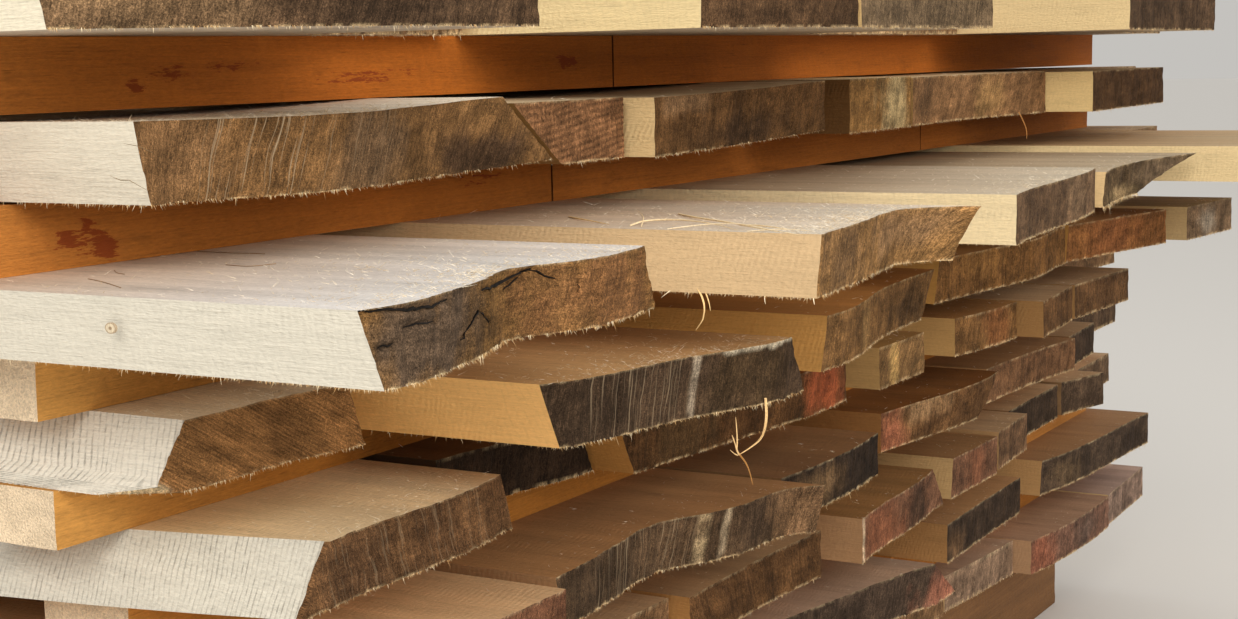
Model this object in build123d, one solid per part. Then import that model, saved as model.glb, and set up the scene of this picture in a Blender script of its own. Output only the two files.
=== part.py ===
from build123d import *
import os
from collections import namedtuple
from math import hypot, sqrt

# A stack of rough-sawn boards, laid up in nine layers to dry, with thin strips
# (stickers) between the layers and squared timbers (bearers) under the lowest.
# Millimetres. +X is the way the boards' seen ends point, +Y runs from the near
# side of the stack to the far side, and +Z is up. The parts are made with X = 0
# at the front face of the first row of stickers, and moved at the end so that
# the origin is the middle of the stack's footprint.

# The boards, and how far across the stack they are laid.
BOARD_LENGTH = 2400
BOARD_THICKNESS = 27
STACK_WIDTH = 1345
NARROWEST_BOARD = 60

# The stickers: how thick and wide they are, how many rows stand along the
# boards, and how far the last row is set in from the far ends.
STICKER_THICKNESS = 25
STICKER_WIDTH = 45
STICKER_COLUMNS = 5
FAR_END_INSET = 290
STICKER_JOINT = 1.5

# The bearers: squared timbers, one under each row of stickers.
BEARER_HEIGHT = 90
BEARER_WIDTH = 90
BEARER_SETBACK = 10
BEARER_NEAR_INSET = 40
BEARER_FAR_INSET = 87

# One board. gap: the space to the board before it, or to the stack's near side.
# width: across its top face. ends: how far its seen end stands out past the
# stickers, read at even steps from the near edge to the far one, which gives the
# skewed and wavy saw cut. near_slope and far_slope: how much further out the
# bottom of that edge is than its top. chip: how far in, up and back the lower near
# corner is broken away at the cut. flare: how much further out the near edge swings
# behind the cut, and over what length. thin: how much thinner the board is than its
# layer. rise: how far its near and far edges have risen above its lowest line in
# drying.
Board = namedtuple(
    "Board",
    "gap width ends near_slope far_slope chip flare thin rise",
    defaults=(0, 0, (0, 0, 0), (0, 0), 0, (0, 0)),
)

# One layer: how much thicker than the usual board it was sawn, how far its last
# board stops from the stack's far side, and its boards from the near side on. The
# last board was ripped to reach that far.
Layer = namedtuple("Layer", "extra far_inset boards")

# The layers from the bottom one up.
LAYERS = [
    Layer(0, 9, [
        Board(50, 230, (35, 40, 38)),
        Board(6, 274, (45, 38, 40)),
        Board(5, 328, (20, 12, 16, 22)),
        Board(7, 124, (20, 26, 30)),
        Board(3, 179, (44, 54, 54)),
        Board(4, 126, (52, 48)),
    ]),
    Layer(1, 18, [
        Board(30, 244, (50, 56, 44)),
        Board(5, 275, (40, 32, 36)),
        Board(6, 187, (30, 44, 56, 72), far_slope=37),
        Board(102, 169, (42, 39, 38)),
        Board(65, 244, (34, 46, 50, 55), near_slope=5),
    ]),
    Layer(1, 5, [
        Board(40, 185, (55, 62, 58)),
        Board(6, 208, (48, 42, 44)),
        Board(5, 160, (54, 52, 56)),
        Board(36, 150, (67, 62, 60, 54), far_slope=20),
        Board(38, 88, (54, 55), near_slope=4),
        Board(14, 80, (51, 46)),
        Board(4, 132, (30, 27)),
        Board(10, 66, (27, 44)),
        Board(4, 114, (16, 14), thin=2),
    ]),
    Layer(-2, 5, [
        Board(75, 194, (80, 85, 88, 89)),
        Board(13, 218, (76, 74, 71, 67, 67, 80, 88, 90, 108), near_slope=-8, far_slope=-3),
        Board(5, 138, (78, 82, 76)),
        Board(57, 185, (54, 62, 69, 66), far_slope=-50),
        Board(4, 171, (56, 59, 68)),
        Board(5, 86, (62, 56)),
        Board(5, 185, (22, 20), thin=2),
    ]),
    Layer(-2, 5, [
        Board(121, 121, (82, 80, 81, 80, 75), near_slope=18, far_slope=8, flare=(38, 300)),
        Board(12, 96, (33, 36, 41, 47), far_slope=13),
        Board(4, 234, (67, 72, 77, 82, 80), near_slope=-11),
        Board(37, 71, (85, 85)),
        Board(63, 96, (81, 88, 90)),
        Board(6, 95, (107, 98)),
        Board(4, 120, (98, 104)),
        Board(5, 255, (20, 14, 18)),
    ]),
    Layer(-1, 5, [
        Board(87, 86, (46, 47, 46, 48, 52), near_slope=18, far_slope=9, chip=(17, 6, 28)),
        Board(27, 150, (123, 134, 138, 142, 150, 158, 159), near_slope=-7, far_slope=12),
        Board(69, 204, (145, 141, 129, 123, 120), near_slope=8, far_slope=-23),
        Board(49, 233, (104, 108, 113, 117, 112, 108), near_slope=8),
        Board(11, 152, (107, 122, 136), near_slope=6),
        Board(24, 104, (146, 156)),
        Board(5, 140, (28, 24)),
    ]),
    Layer(-2, 5, [
        Board(24, 195, (176, 178, 172, 164, 155, 164, 165, 160), near_slope=-9, far_slope=8),
        Board(
            61, 149, (206, 204, 202, 200, 198, 195, 192, 190, 189, 196, 224),
            near_slope=5, far_slope=-5,
        ),
        Board(70, 221, (211, 203, 199, 194, 184), far_slope=-7),
        Board(22, 218, (185, 174, 186), near_slope=8, far_slope=-110, thin=4),
        Board(15, 265, (230, 226)),
        Board(5, 95, (60, 56)),
    ]),
    Layer(4, 5, [
        Board(45, 215, (72, 66, 76, 74, 69, 70), near_slope=-10, far_slope=37, thin=3, rise=(1, 3)),
        Board(8, 92, (70, 70), near_slope=-37, thin=3),
        Board(6, 218, (83, 76, 72, 70), thin=3.5, rise=(0, 3.5)),
        Board(26, 108, (74, 68)),
        Board(3, 250, (68, 62, 66, 72), thin=1),
        Board(3, 224, (106, 102, 98), thin=2),
        Board(5, 142, (40, 36), thin=2),
    ]),
    Layer(1, 0, [
        Board(0, 189, (74, 114, 131, 135), near_slope=-4),
        Board(5, 115, (20, 16)),
        Board(16, 123, (130, 144, 150)),
        Board(3, 179, (150, 146, 152)),
        Board(5, 270, (30, 36, 28)),
        Board(6, 251, (150, 144, 148)),
        Board(5, 178, (60, 56)),
    ]),
]

# One level of stickers: how much thicker than the usual strip it was sawn, how
# far its first strip starts from the near side, where one strip ends and the next
# begins, and how far the last one stops from the far side.
Level = namedtuple("Level", "extra near_inset joints far_inset")

# The levels from the lowest up.
LEVELS = [
    Level(0, 15, [640], 20),
    Level(0, 30, [], 30),
    Level(3.5, 22, [700], 16),
    Level(4.5, 100, [], 12),
    Level(-3, 67, [], 25),
    Level(3, 62, [], 18),
    Level(0, 4, [405, 904], 34),
    Level(2, 2, [468], 20),
]


def layer_thickness(index):
    """The height that a layer of boards takes up between its stickers."""
    return BOARD_THICKNESS + LAYERS[index].extra


def level_thickness(index):
    """The height of the stickers on top of a layer."""
    return STICKER_THICKNESS + LEVELS[index].extra


def layer_foot(index):
    """Height of the underside of a layer, counted from 0 at the bottom."""
    below = sum(layer_thickness(i) + level_thickness(i) for i in range(index))
    return BEARER_HEIGHT + below


def column_front(column):
    """X of the front face of a row of stickers, counted from 0 at the seen ends."""
    last = FAR_END_INSET - BOARD_LENGTH + STICKER_WIDTH
    return last * column / (STICKER_COLUMNS - 1)


def curled_face(lowest, near, far, height, rise):
    """One broad face of a board in section, flat or curling up to its two edges."""
    if not any(rise):
        return [Line((near, height), (far, height))]
    near_rise, far_rise = rise
    low_point = (lowest, height)
    curls = []
    if near_rise:
        curls.append(TangentArc(low_point, (near, height + near_rise), tangent=(-1, 0)))
    if far_rise:
        curls.append(TangentArc(low_point, (far, height + far_rise), tangent=(1, 0)))
    return curls


def board_section(board, width, thickness):
    """The board's section across its length, with sloping edges or a curl."""
    near_rise, far_rise = board.rise
    near_top = -board.flare[0]
    near_foot = near_top - board.near_slope
    far_foot = width + board.far_slope
    roots = sqrt(near_rise) + sqrt(far_rise)
    share = sqrt(near_rise) / roots if roots else 0
    lowest_top = near_top + (width - near_top) * share
    lowest_foot = near_foot + (far_foot - near_foot) * share
    top = curled_face(lowest_top, near_top, width, thickness, board.rise)
    bottom = curled_face(lowest_foot, near_foot, far_foot, 0, board.rise)
    far_side = Line((width, thickness + far_rise), (far_foot, far_rise))
    near_side = Line((near_foot, near_rise), (near_top, thickness + near_rise))
    edges = [*top, far_side, *bottom, near_side]
    return make_face([edge for line in edges for edge in line.edges()])


def board_plan(board, width, back):
    """The board seen from above: straight sides, a square back, the saw cut in front."""
    margin = abs(board.near_slope) + abs(board.far_slope) + board.flare[0] + 1
    step = width / (len(board.ends) - 1)
    cut_points = [(overhang, step * i) for i, overhang in enumerate(board.ends)]
    if len(cut_points) > 2:
        cut = Spline(*cut_points)
    else:
        cut = Line(*cut_points)
    near_front = (board.ends[0], -margin)
    far_front = (board.ends[-1], width + margin)
    sides = Polyline(cut @ 1, far_front, (back, far_front[1]), (back, -margin), near_front, cut @ 0)
    return make_face(Wire([*cut.edges(), *sides.edges()]))


def flare_waste(board, thickness):
    """What is cut off the near edge so that it swings in to its place at the cut."""
    out, length = board.flare
    front = board.ends[0]
    behind = front - length
    beyond = front + out
    swing = TangentArc((behind, -out), (front, 0), tangent=(1, 0))
    outside = Polyline((front, 0), (beyond, out), (beyond, -2 * out), (behind, -2 * out), (behind, -out))
    waste = Pos(0, -board.near_slope, 0) * make_face([*swing.edges(), *outside.edges()])
    slant = hypot(board.near_slope, thickness)
    return extrude(waste, slant, dir=(0, board.near_slope / thickness, 1))


def corner_chip(board):
    """The wedge broken from the lower near corner at the cut, down to a point behind."""
    inward, up, length = board.chip
    foot = -board.near_slope
    below = [(-length, -length), (2 * inward, -length)]
    sloping = [(2 * inward, 0), (0, 2 * up)]
    mouth = make_face(Polyline(*below, *sloping, (-length, 2 * up), close=True))
    point = Vertex(board.ends[0] - length, foot, 0)
    return loft([Plane.YZ.offset(board.ends[0] + length) * Pos(foot, 0, 0) * mouth, point])


def make_board(board, width, layer_height):
    """One sawn board: its section run along X and trimmed to its plan."""
    thickness = layer_height - board.thin
    back = sum(board.ends) / len(board.ends) - BOARD_LENGTH
    reach = max(board.ends) - back + BOARD_THICKNESS
    blank = extrude(Plane.YZ.offset(back) * board_section(board, width, thickness), reach)
    made = blank & extrude(board_plan(board, width, back), layer_height)
    if any(board.flare):
        made -= flare_waste(board, thickness)
    if any(board.chip):
        made -= corner_chip(board)
    return made


def laid_boards(layer):
    """Each board of a layer with its near edge and its width, as the stack has room."""
    limit = STACK_WIDTH - layer.far_inset
    laid = []
    far_edge = 0
    for board in layer.boards:
        near_edge = far_edge + board.gap
        if near_edge + NARROWEST_BOARD > limit:
            break
        far_edge = min(near_edge + board.width, limit)
        laid.append((board, near_edge, far_edge - near_edge))
    last, near_edge, _ = laid[-1]
    laid[-1] = (last, near_edge, limit - near_edge)
    return laid


def make_layer(index):
    """All boards of one layer, side by side from the near side of the stack."""
    foot = layer_foot(index)
    height = layer_thickness(index)
    return [
        Pos(0, near_edge, foot) * make_board(board, width, height)
        for board, near_edge, width in laid_boards(LAYERS[index])
    ]


def make_sticker_column(column):
    """The strips that lie one above the other, level by level, in one row."""
    strips = []
    for index in range(len(LEVELS)):
        level = LEVELS[(index + 3 * column) % len(LEVELS)]
        starts = [level.near_inset] + [joint + STICKER_JOINT for joint in level.joints]
        stops = level.joints + [STACK_WIDTH - level.far_inset]
        foot = layer_foot(index) + layer_thickness(index)
        for near, far in zip(starts, stops):
            strip = Box(
                STICKER_WIDTH, far - near, level_thickness(index),
                align=(Align.MAX, Align.MIN, Align.MIN),
            )
            strips.append(Pos(column_front(column), near, foot) * strip)
    return strips


def make_bearer(column):
    """One squared timber across the stack, under a row of stickers."""
    length = STACK_WIDTH - BEARER_NEAR_INSET - BEARER_FAR_INSET
    timber = Box(
        BEARER_WIDTH, length, BEARER_HEIGHT,
        align=(Align.MAX, Align.MIN, Align.MIN),
    )
    return Pos(column_front(column) - BEARER_SETBACK, BEARER_NEAR_INSET, 0) * timber


def make_parts():
    """Every node's name with its solids."""
    parts = {}
    for column in range(STICKER_COLUMNS):
        parts[f"bearer_{column + 1}"] = [make_bearer(column)]
    for index in range(len(LAYERS)):
        parts[f"board_layer_{index + 1}"] = make_layer(index)
    for column in range(STICKER_COLUMNS):
        parts[f"sticker_column_{column + 1}"] = make_sticker_column(column)
    return parts


def write_parts():
    """Move the origin to the middle of the footprint and write one file a node."""
    os.makedirs("parts", exist_ok=True)
    parts = make_parts()
    box = Compound([solid for solids in parts.values() for solid in solids]).bounding_box()
    centre = box.center()
    for name, solids in parts.items():
        node = Compound([Pos(-centre.X, -centre.Y, 0) * solid for solid in solids])
        export_step(node, f"parts/{name}.step")
    print("size", round(box.size.X, 1), round(box.size.Y, 1), round(box.size.Z, 1))
    print("sticker face at x", round(-centre.X, 3), "near side at y", round(-centre.Y, 3))


write_parts()
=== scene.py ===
import math
from collections import namedtuple
from itertools import product

import bmesh
import bpy
import numpy as np
from mathutils import Matrix, Vector
from mathutils.bvhtree import BVHTree


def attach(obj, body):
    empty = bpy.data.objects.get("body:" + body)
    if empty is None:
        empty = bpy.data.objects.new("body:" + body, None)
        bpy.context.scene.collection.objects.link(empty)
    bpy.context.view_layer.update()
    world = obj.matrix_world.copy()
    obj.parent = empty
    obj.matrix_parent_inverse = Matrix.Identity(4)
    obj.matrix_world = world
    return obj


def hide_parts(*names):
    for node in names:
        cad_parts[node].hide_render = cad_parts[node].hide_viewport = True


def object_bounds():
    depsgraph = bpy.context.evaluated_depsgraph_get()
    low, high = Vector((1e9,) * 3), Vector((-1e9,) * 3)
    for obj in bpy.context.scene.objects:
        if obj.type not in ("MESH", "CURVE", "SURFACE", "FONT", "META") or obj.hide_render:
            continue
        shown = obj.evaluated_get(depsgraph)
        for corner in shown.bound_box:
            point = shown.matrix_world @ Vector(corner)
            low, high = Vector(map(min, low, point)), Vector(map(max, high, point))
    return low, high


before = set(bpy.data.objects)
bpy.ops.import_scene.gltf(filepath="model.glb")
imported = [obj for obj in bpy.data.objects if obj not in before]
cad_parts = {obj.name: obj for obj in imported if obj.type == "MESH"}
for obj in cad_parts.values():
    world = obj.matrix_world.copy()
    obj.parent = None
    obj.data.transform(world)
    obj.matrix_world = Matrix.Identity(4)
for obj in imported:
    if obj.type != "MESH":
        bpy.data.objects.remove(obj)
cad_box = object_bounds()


# Bearers. Squared softwood timbers, sawn on all four sides and dark brown. They lie
# loose across the stack, one under each row of stickers, so that air gets in below it.

MM = 0.001
BEARER_TONE = "#7A5532"
BEARER_END_TONE = "#6A4A30"
BEARER_CHIPS = 0.8
BEARER_SEED = 40

# How far apart the points on a bearer's ends are, and the rings of points along it.
BEARER_CELL = 6
BEARER_RINGS = 50

# How far outside a timber the rays start that read its shape, and how far from its
# back end it is straight.
OUTSIDE = 50
STRAIGHT_RUN = 300


def linear(code):
    """A colour written as an sRGB hex code, in linear light."""
    parts = [int(code[i:i + 2], 16) / 255 for i in (1, 3, 5)]
    return np.array([c / 12.92 if c <= 0.04045 else ((c + 0.055) / 1.055) ** 2.4 for c in parts])


def noise(places, cell, seed):
    """Smooth noise from -1 to 1 at places in mm, with about one bump to a cell.

    The long numbers only scramble each corner's place into a value of its own.
    """
    scaled = np.asarray(places, float) / cell
    corner = np.floor(scaled).astype(np.int64)
    share = scaled - corner
    share = share * share * (3 - 2 * share)
    total = np.zeros(len(scaled))
    for step in product((0, 1), repeat=3):
        x, y, z = (corner + step).T
        value = (x * 73856093) ^ (y * 19349663) ^ (z * 83492791) ^ (seed * 2654435761)
        value = ((value ^ (value >> 15)) * 2246822519) & 0xFFFFFFFF
        value = ((value ^ (value >> 13)) * 3266489917) & 0xFFFFFFFF
        value = ((value ^ (value >> 16)) & 0xFFFF) / 0xFFFF
        total += value * np.prod(np.where(step, share, 1 - share), axis=1)
    return total * 2 - 1


def loose_parts(node, turned=False):
    """Each solid of a CAD node, as its points in mm and a tree to cast rays at.

    The points are (along, across, up). A timber that lies across the stack is
    turned, so that along it is -Y and across it is +X. Boards come in order from the
    near side, and turned timbers from the far side.
    """
    shape = bmesh.new()
    shape.from_mesh(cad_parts[node].data)
    bmesh.ops.remove_doubles(shape, verts=shape.verts, dist=1e-6)
    shape.verts.ensure_lookup_table()
    places = np.array([v.co for v in shape.verts]) / MM
    if turned:
        places = np.stack([-places[:, 1], places[:, 0], places[:, 2]], 1)
    group = {}
    parts = []
    for vert in shape.verts:
        if vert.index in group:
            continue
        group[vert.index] = len(parts)
        front = [vert]
        members = [vert.index]
        while front:
            for edge in front.pop().link_edges:
                for other in edge.verts:
                    if other.index not in group:
                        group[other.index] = len(parts)
                        members.append(other.index)
                        front.append(other)
        parts.append(members)
    solids = []
    for number, members in enumerate(parts):
        renumbered = {old: new for new, old in enumerate(members)}
        faces = [
            [renumbered[v.index] for v in face.verts]
            for face in shape.faces if group[face.verts[0].index] == number
        ]
        points = places[members]
        solids.append((points, BVHTree.FromPolygons([Vector(p) for p in points], faces)))
    shape.free()
    return sorted(solids, key=lambda solid: (solid[0][:, 0].max() if turned else 0, solid[0][:, 1].min()))


def cast(tree, start, way, axis, otherwise):
    """The coordinate along one axis where a ray first meets a solid."""
    place = tree.ray_cast(Vector(start), Vector(way))[0]
    return place[axis] if place else otherwise


def blend(start, end, share):
    """Points part of the way from one to another."""
    return np.outer(1 - share, start) + np.outer(share, end)


def section_grid(points, tree, columns, rows):
    """The section of a timber as a grid of (across, up) points, read from its solid.

    Its corners are found at the back end, with heights stretched tenfold so that no
    slope of the sides can mix them up, and its outline where the timber is straight.
    """
    back = points[:, 0].min()
    outline = points[points[:, 0] < back + 0.5][:, 1:]
    steep = outline[:, 1] * 10
    near_foot = outline[np.argmin(outline[:, 0] + steep)]
    near_top = outline[np.argmin(outline[:, 0] - steep)]
    far_foot = outline[np.argmax(outline[:, 0] - steep)]
    far_top = outline[np.argmax(outline[:, 0] + steep)]
    middle = back + STRAIGHT_RUN
    across = np.linspace(0, 1, columns + 1)
    up = np.linspace(0, 1, rows + 1)
    near, far = blend(near_foot, near_top, up), blend(far_foot, far_top, up)
    foot, top = blend(near_foot, far_foot, across), blend(near_top, far_top, across)
    for spot in near[1:-1]:
        spot[0] = cast(tree, (middle, near[:, 0].min() - OUTSIDE, spot[1]), (0, 1, 0), 1, spot[0])
    for spot in far[1:-1]:
        spot[0] = cast(tree, (middle, far[:, 0].max() + OUTSIDE, spot[1]), (0, -1, 0), 1, spot[0])
    for spot in foot[1:-1]:
        spot[1] = cast(tree, (middle, spot[0], near_foot[1] - OUTSIDE), (0, 0, 1), 2, spot[1])
    for spot in top[1:-1]:
        spot[1] = cast(tree, (middle, spot[0], near_top[1] + OUTSIDE), (0, 0, -1), 2, spot[1])
    a = across[:, None, None]
    b = up[None, :, None]
    sides = (1 - a) * near[None] + a * far[None] + (1 - b) * foot[:, None] + b * top[:, None]
    corners = (1 - a) * ((1 - b) * near_foot + b * near_top) + a * ((1 - b) * far_foot + b * far_top)
    return sides - corners


def front_of(points, tree, grid):
    """How far along the cut end lies at each point of the section.

    The rays aim a hundredth further in, so that those at the rim don't miss it.
    """
    start = points[:, 0].max() + OUTSIDE
    centre = grid.reshape(-1, 2).mean(0)
    inset = grid + (centre - grid) * 0.01
    found = np.array([cast(tree, (start, y, z), (-1, 0, 0), 0, np.nan) for y, z in inset.reshape(-1, 2)])
    found[np.isnan(found)] = np.nanmin(found)
    return found.reshape(grid.shape[:2])


def near_swing(tree, along, grid):
    """How far the near edge lies inside its place at the back, at its foot and its top.

    It is read just above the foot and just below the top, and half a millimetre or
    less counts as none.
    """
    foot, top = grid[0, 0], grid[0, -1]
    shifts = []
    for share in (0.08, 0.92):
        level = foot + (top - foot) * share
        found = cast(tree, (along, level[0] - OUTSIDE, level[1]), (0, 1, 0), 1, level[0])
        shifts.append(found - level[0])
    return np.array(shifts) if max(shifts) > 0.5 else np.zeros(2)


def swung(grid, shifts):
    """The section with its near edge moved in, and the rest squeezed to match."""
    across = grid[..., 0]
    span = across[-1:] - across[:1]
    share = (across[-1:] - across) / span
    up = (grid[..., 1] - grid[..., 1].min()) / np.ptp(grid[..., 1])
    moved = grid.copy()
    moved[..., 0] += share * (shifts[0] * (1 - up) + shifts[1] * up)
    return moved


def ring_of(columns, rows):
    """The grid's border as indices: up the near side, over, down the far side and back."""
    up_near = [(0, j) for j in range(rows)]
    over = [(i, rows) for i in range(columns)]
    down_far = [(columns, j) for j in range(rows, 0, -1)]
    back_under = [(i, 0) for i in range(columns, 0, -1)]
    return np.array(up_near + over + down_far + back_under)


def ring_steps(length, first, longest, fine_run):
    """Distances from the cut at which a timber gets a ring of points, in mm.

    Past the fine run each is a third further from the last one, up to the longest.
    """
    steps = [0.0]
    step = first
    while steps[-1] + step < length - 3 * first:
        steps.append(steps[-1] + step)
        if steps[-1] > fine_run:
            step = min(step * 1.35, longest)
    return steps + [length]


def stitched(last_ring, ring, thinning):
    """The quads or triangles between two rings, the second of which may be thinned."""
    if len(ring) == len(last_ring):
        return [np.stack([last_ring, np.roll(last_ring, -1), np.roll(ring, -1), ring], -1)], []
    half = thinning // 2
    triangles = []
    for m, near in enumerate(ring):
        far = ring[(m + 1) % len(ring)]
        fan = [last_ring[(m * thinning + j) % len(last_ring)] for j in range(thinning + 1)]
        triangles += [(fan[j], fan[j + 1], near) for j in range(half)]
        triangles += [(near, fan[half], far)]
        triangles += [(fan[j], fan[j + 1], far) for j in range(half, thinning)]
    return [], triangles


def back_face(grid, last_ring, count):
    """A timber's back end: the points inside its last ring, as (across, up), and its quads."""
    columns, rows = grid.shape[:2]
    inner = grid[1:-1, 1:-1]
    index = np.zeros((columns, rows), int)
    index[1:-1, 1:-1] = count + np.arange(inner.size // 2).reshape(inner.shape[:2])
    border = ring_of(columns - 1, rows - 1)
    index[border[:, 0], border[:, 1]] = last_ring
    quads = np.stack([index[:-1, :-1], index[:-1, 1:], index[1:, 1:], index[1:, :-1]], -1)
    return inner.reshape(-1, 2), quads.reshape(-1, 4)


# The kinds of face, and which of a piece's materials and tones each one takes.
TOP, END, EDGE, FIBRE = range(4)
MATERIAL_OF_KIND = np.array([0, 1, 0, 2], np.int32)
TONE_OF_KIND = np.array([0, 1, 2, 0])

# A face whose normal points sideways by more than this is an edge's, not a broad side's.
EDGE_STEEPNESS = 0.4


def face_kinds(verts, quads, triangles, ends):
    """Whether each face is of a broad side, an end or an edge."""
    kinds = []
    for faces in (quads, triangles):
        if len(faces):
            corner = verts[np.asarray(faces)]
            normal = np.cross(corner[:, 1] - corner[:, 0], corner[:, -1] - corner[:, 0])
            steepness = np.abs(normal[:, 1]) / (np.linalg.norm(normal, axis=1) + 1e-9)
            kinds.append(np.where(steepness > EDGE_STEEPNESS, EDGE, TOP))
    kinds = np.concatenate(kinds)
    kinds[ends] = END
    return kinds


# A timber's mesh, how far each of its points is across from the near top corner, up
# from the foot and back from the cut, in mm, and the cut end's own grid and front.
Timber = namedtuple("Timber", "verts faces kinds across up along grid front")

# How many rings of points behind the cut are as fine as the end, and over how much of
# its length a board's near edge may swing.
FINE_RINGS = 6
SWING_SHARE = 0.4


def timber_mesh(points, tree, cell, longest, thinning=1, fine_run=0, swings=False):
    """A sawn timber as one closed mesh, fine at its seen end and coarser behind.

    cell is the spacing of the points on the end face, and longest the most that two
    rings of points stand apart, in mm. Behind the first few rings only one point in
    thinning goes on round the timber. Where the near edge swings, it is read again at
    each ring.
    """
    columns = max(2, round(np.ptp(points[:, 1]) / cell / thinning)) * thinning
    rows = max(2, round(np.ptp(points[:, 2]) / cell / thinning)) * thinning
    straight_grid = section_grid(points, tree, columns, rows)
    back = points[:, 0].min()
    still = np.zeros(2)
    middle = straight_grid[columns // 2, rows // 2]
    cut = cast(tree, (points[:, 0].max() + OUTSIDE, *middle), (-1, 0, 0), 0, 0)
    grid = swung(straight_grid, near_swing(tree, cut - 3, straight_grid) if swings else still)
    front = front_of(points, tree, grid)
    border = ring_of(columns, rows)
    loop_front = front[border[:, 0], border[:, 1]]
    length = loop_front.mean() - back
    steps = ring_steps(length, cell, longest, fine_run)
    index = np.arange((columns + 1) * (rows + 1)).reshape(columns + 1, rows + 1)
    cap = np.stack([index[:-1, :-1], index[1:, :-1], index[1:, 1:], index[:-1, 1:]], -1).reshape(-1, 4)
    verts = [np.dstack([front, grid]).reshape(-1, 3)]
    distances = [np.zeros(index.size)]
    quads = [cap]
    triangles = []
    last_ring = index[border[:, 0], border[:, 1]]
    count = index.size
    for number, step in enumerate(steps[1:], 1):
        chosen = slice(None, None, thinning if number > FINE_RINGS else 1)
        share = max(0, (step - steps[FINE_RINGS]) / (length - steps[FINE_RINGS]))
        along = (loop_front[chosen] - min(step, steps[FINE_RINGS])) * (1 - share) + back * share
        ring = count + np.arange(len(along))
        shifts = near_swing(tree, along[0], straight_grid) if swings and share < SWING_SHARE else still
        here = swung(straight_grid, shifts)[border[:, 0], border[:, 1]]
        verts.append(np.column_stack([along, here[chosen]]))
        distances.append(np.full(len(ring), step))
        count += len(ring)
        ring_quads, ring_triangles = stitched(last_ring, ring, thinning)
        quads += ring_quads
        triangles += ring_triangles
        last_ring = ring
    inner, back_cap = back_face(straight_grid[::thinning, ::thinning], last_ring, count)
    verts.append(np.column_stack([np.full(len(inner), back), inner]))
    distances.append(np.full(len(inner), length))
    quads.append(back_cap)
    verts = np.concatenate(verts)
    quads = np.concatenate(quads)
    ends = np.r_[np.arange(len(cap)), np.arange(len(quads) - len(back_cap), len(quads))]
    kinds = face_kinds(verts, quads, triangles, ends)
    across = verts[:, 1] - grid[:, -1, 0].min()
    up = verts[:, 2] - grid[..., 1].min()
    faces = quads.tolist() + triangles
    return Timber(verts, faces, kinds, across, up, np.concatenate(distances), grid, front)


# A finished mesh, with each point's tones, its places in the wood and on the cut in
# mm, and its marks.
Piece = namedtuple("Piece", "verts faces kinds tones woods cuts marks")


def joined(pieces):
    """Several meshes' arrays as one."""
    faces = []
    count = 0
    for piece in pieces:
        faces += [[v + count for v in face] for face in piece.faces]
        count += len(piece.verts)
    verts, kinds, tones, woods, cuts, marks = [
        np.concatenate([getattr(piece, name) for piece in pieces])
        for name in ("verts", "kinds", "tones", "woods", "cuts", "marks")
    ]
    return Piece(verts, faces, kinds, tones, woods, cuts, marks)


def make_object(name, piece, materials, turned=False):
    """A Blender object from a piece's arrays, riding on the stack.

    Its colour goes to each face's corners, so that an end stays crisp against a
    side. Its places in the wood and on the cut go to its points, and so do its
    marks: a count of coarse saw furrows, how deep they are, and how strongly resin
    stains a strip or pale threads stand out on a board's end.
    """
    places = piece.verts
    if turned:
        places = np.stack([places[:, 1], -places[:, 0], places[:, 2]], 1)
    mesh = bpy.data.meshes.new(name)
    mesh.from_pydata((places * MM).tolist(), [], piece.faces)
    for material in materials:
        mesh.materials.append(material)
    mesh.polygons.foreach_set("material_index", MATERIAL_OF_KIND[piece.kinds])
    mesh.polygons.foreach_set("use_smooth", np.ones(len(piece.kinds), bool))
    corners = np.zeros(len(mesh.loops), np.int32)
    mesh.loops.foreach_get("vertex_index", corners)
    sizes = [len(face) for face in piece.faces]
    colours = np.ones((len(corners), 4), np.float32)
    colours[:, :3] = piece.tones[corners, TONE_OF_KIND[np.repeat(piece.kinds, sizes)]]
    tone = mesh.attributes.new("tone", "FLOAT_COLOR", "CORNER")
    tone.data.foreach_set("color", colours.ravel())
    for label, values in (("wood_mm", piece.woods), ("cut_mm", piece.cuts), ("saw_marks", piece.marks)):
        layer = mesh.attributes.new(label, "FLOAT_VECTOR", "POINT")
        layer.data.foreach_set("vector", values.astype(np.float32).ravel())
    mesh.update()
    mesh.set_sharp_from_angle(angle=math.radians(50))
    made = bpy.data.objects.new(name, mesh)
    bpy.context.scene.collection.objects.link(made)
    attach(made, "root")
    return made


def roughened(timber, amount, seed):
    """A timber's points with the slight waves and chipped ends that sawing leaves.

    The waves are 14 mm across and stretched along the timber. The chips at its seen
    end are 5 mm across. Both only go inward.
    """
    verts = timber.verts.copy()
    waves = noise(verts * (0.15, 1, 1), 14, seed) * amount
    middle = timber.grid.reshape(-1, 2).mean(0)
    inward = middle - verts[:, 1:]
    reach = np.linalg.norm(inward, axis=1)[:, None] + 1e-6
    verts[:, 1:] += inward / reach * (np.abs(waves) + 0.05)[:, None]
    chips = np.clip(noise(verts, 5, seed + 1) - 0.1, 0, 1) * amount * 2
    verts[:, 0] -= np.where(timber.along < 1, chips, 0)
    return verts


def add_node(tree, kind, inputs=(), output=0, **settings):
    """Add a shader node with its settings, set or link its inputs, and give one output.

    The inputs stand in the node's own order, or in a dictionary by name or number.
    """
    made = tree.nodes.new("ShaderNode" + kind)
    for name, value in settings.items():
        setattr(made, name, value)
    for name, value in inputs.items() if isinstance(inputs, dict) else enumerate(inputs):
        if isinstance(value, bpy.types.NodeSocket):
            tree.links.new(value, made.inputs[name])
        else:
            made.inputs[name].default_value = value
    return made.outputs[output] if made.outputs else None


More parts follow.
